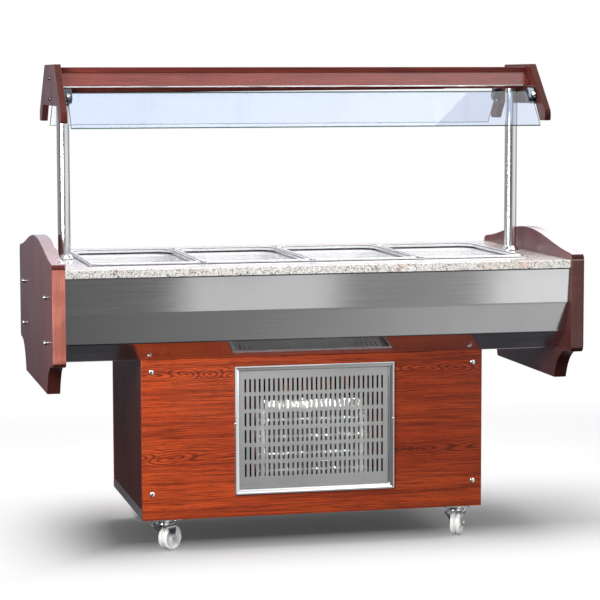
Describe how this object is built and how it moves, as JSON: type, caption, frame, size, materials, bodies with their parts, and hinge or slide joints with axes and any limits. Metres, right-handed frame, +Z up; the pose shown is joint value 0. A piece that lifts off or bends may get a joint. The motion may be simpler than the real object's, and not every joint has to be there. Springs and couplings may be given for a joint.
{
  "type": "refrigerated buffet trolley",
  "caption": "Refrigerated buffet trolley on swivel casters with lift-out steel pans, wood-clad base and ends, and a canopy with tilting glass panes.",
  "frame": {"origin": "on the floor under the middle of the trolley", "axes": "+X along the length to the right, +Y to the rear, away from the vent grille, +Z up"},
  "size_m": [1.608, 0.85, 1.4346],
  "materials": {
    "wood": "gloss laminate",
    "dark_wood": "satin laminate",
    "stainless": "brushed",
    "polished_steel": "polished",
    "galvanised": "satin",
    "aluminium": "satin",
    "copper": "satin",
    "granite": "polished",
    "nylon": "satin",
    "black_plastic": "satin",
    "black_paint": "gloss",
    "grey_paint": "satin",
    "foam": "matte",
    "lamp_glass": "gloss",
    "glass": "clear"
  },
  "bodies": {
    "chassis": {"front_panel": "wood", "rear_panel": "wood", "end_panel_left": "wood", "end_panel_right": "wood", "gable_left": "wood", "gable_right": "wood", "canopy_roof": "wood", "fascia_front": "wood", "fascia_rear": "wood", "side_panel_left": "dark_wood", "side_panel_right": "dark_wood", "grille_frame": "stainless", "grille_plate": "stainless", "control_panel": "stainless", "tub_shell": "stainless", "well_liner": "stainless", "drain_valve": "stainless", "pan_frame": "stainless", "post_left": "stainless", "post_right": "stainless", "base_tray": "grey_paint", "fan_motor": "grey_paint", "power_inlet": "black_plastic", "condenser_coil": "aluminium", "evaporator": "aluminium", "fan_shroud": "galvanised", "lamp_housing": "galvanised", "compressor": "black_paint", "discharge_line": "copper", "filter_drier": "copper", "suction_line": "copper", "well_insulation": "foam", "worktop": "granite", "lamp_tube": "lamp_glass", "caster_plate_front_left": "polished_steel", "caster_plate_front_right": "polished_steel", "caster_plate_rear_left": "polished_steel", "caster_plate_rear_right": "polished_steel"},
    "lift_out_pan_1": {"pan_1": "stainless"},
    "lift_out_pan_2": {"pan_2": "stainless"},
    "lift_out_pan_3": {"pan_3": "stainless"},
    "lift_out_pan_4": {"pan_4": "stainless"},
    "pane_front": {"glass_front": "glass", "clamp_front_left": "polished_steel", "clamp_front_right": "polished_steel"},
    "pane_rear": {"glass_rear": "glass", "clamp_rear_left": "polished_steel", "clamp_rear_right": "polished_steel"},
    "swivel_front_left": {"caster_fork_front_left": "polished_steel"},
    "wheel_front_left": {"caster_wheel_front_left": "nylon"},
    "swivel_front_right": {"caster_fork_front_right": "polished_steel"},
    "wheel_front_right": {"caster_wheel_front_right": "nylon"},
    "swivel_rear_left": {"caster_fork_rear_left": "polished_steel"},
    "wheel_rear_left": {"caster_wheel_rear_left": "nylon"},
    "swivel_rear_right": {"caster_fork_rear_right": "polished_steel"},
    "wheel_rear_right": {"caster_wheel_rear_right": "nylon"},
    "fan": {"condenser_fan": "aluminium"},
    "switch": {"power_switch": "black_plastic"},
    "knob": {"thermostat_knob": "black_plastic"},
    "valve_lever": {"drain_handle": "black_plastic"}
  },
  "joints": [
    {"name": "front_left_swivel", "type": "hinge", "parent": "chassis", "child": "swivel_front_left", "pos_m": [-0.45, -0.248, 0.09], "axis": [0, 0, 1], "continuous": true},
    {"name": "front_left_roll", "type": "hinge", "parent": "swivel_front_left", "child": "wheel_front_left", "pos_m": [-0.42855, -0.23, 0.0375], "axis": [-0.6428, 0.766, 0], "continuous": true},
    {"name": "front_right_swivel", "type": "hinge", "parent": "chassis", "child": "swivel_front_right", "pos_m": [0.45, -0.248, 0.09], "axis": [0, 0, 1], "continuous": true},
    {"name": "front_right_roll", "type": "hinge", "parent": "swivel_front_right", "child": "wheel_front_right", "pos_m": [0.46271, -0.22305, 0.0375], "axis": [-0.891, 0.454, 0], "continuous": true},
    {"name": "rear_left_swivel", "type": "hinge", "parent": "chassis", "child": "swivel_rear_left", "pos_m": [-0.45, 0.248, 0.09], "axis": [0, 0, 1], "continuous": true},
    {"name": "rear_left_roll", "type": "hinge", "parent": "swivel_rear_left", "child": "wheel_rear_left", "pos_m": [-0.43276, 0.27006, 0.0375], "axis": [-0.788, 0.6157, 0], "continuous": true},
    {"name": "rear_right_swivel", "type": "hinge", "parent": "chassis", "child": "swivel_rear_right", "pos_m": [0.45, 0.248, 0.09], "axis": [0, 0, 1], "continuous": true},
    {"name": "rear_right_roll", "type": "hinge", "parent": "swivel_rear_right", "child": "wheel_rear_right", "pos_m": [0.45725, 0.27505, 0.0375], "axis": [-0.9659, 0.2588, 0], "continuous": true},
    {"name": "pan_1_lift", "type": "slide", "parent": "chassis", "child": "lift_out_pan_1", "axis": [0, 0, 1], "range_m": [0, 0.18]},
    {"name": "pan_2_lift", "type": "slide", "parent": "chassis", "child": "lift_out_pan_2", "axis": [0, 0, 1], "range_m": [0, 0.18]},
    {"name": "pan_3_lift", "type": "slide", "parent": "chassis", "child": "lift_out_pan_3", "axis": [0, 0, 1], "range_m": [0, 0.18]},
    {"name": "pan_4_lift", "type": "slide", "parent": "chassis", "child": "lift_out_pan_4", "axis": [0, 0, 1], "range_m": [0, 0.18]},
    {"name": "pane_front_tilt", "type": "hinge", "parent": "chassis", "child": "pane_front", "pos_m": [0, -0.17, 1.345], "axis": [-1, 0, 0], "range_deg": [-42, 60]},
    {"name": "pane_rear_tilt", "type": "hinge", "parent": "chassis", "child": "pane_rear", "pos_m": [0, 0.17, 1.345], "axis": [1, 0, 0], "range_deg": [-42, 60]},
    {"name": "fan_spin", "type": "hinge", "parent": "chassis", "child": "fan", "pos_m": [0, -0.186, 0.312], "axis": [0, 1, 0], "continuous": true},
    {"name": "switch_rock", "type": "hinge", "parent": "chassis", "child": "switch", "pos_m": [0.315, 0.2913, 0.462], "axis": [-1, 0, 0], "range_deg": [0, 22]},
    {"name": "thermostat_turn", "type": "hinge", "parent": "chassis", "child": "knob", "pos_m": [0.375, 0.2926, 0.462], "axis": [0, 1, 0], "range_deg": [-135, 135]},
    {"name": "drain_valve_turn", "type": "hinge", "parent": "chassis", "child": "valve_lever", "pos_m": [0.56, 0.2043, 0.524], "axis": [0, -1, 0], "range_deg": [0, 90]}
  ]
}
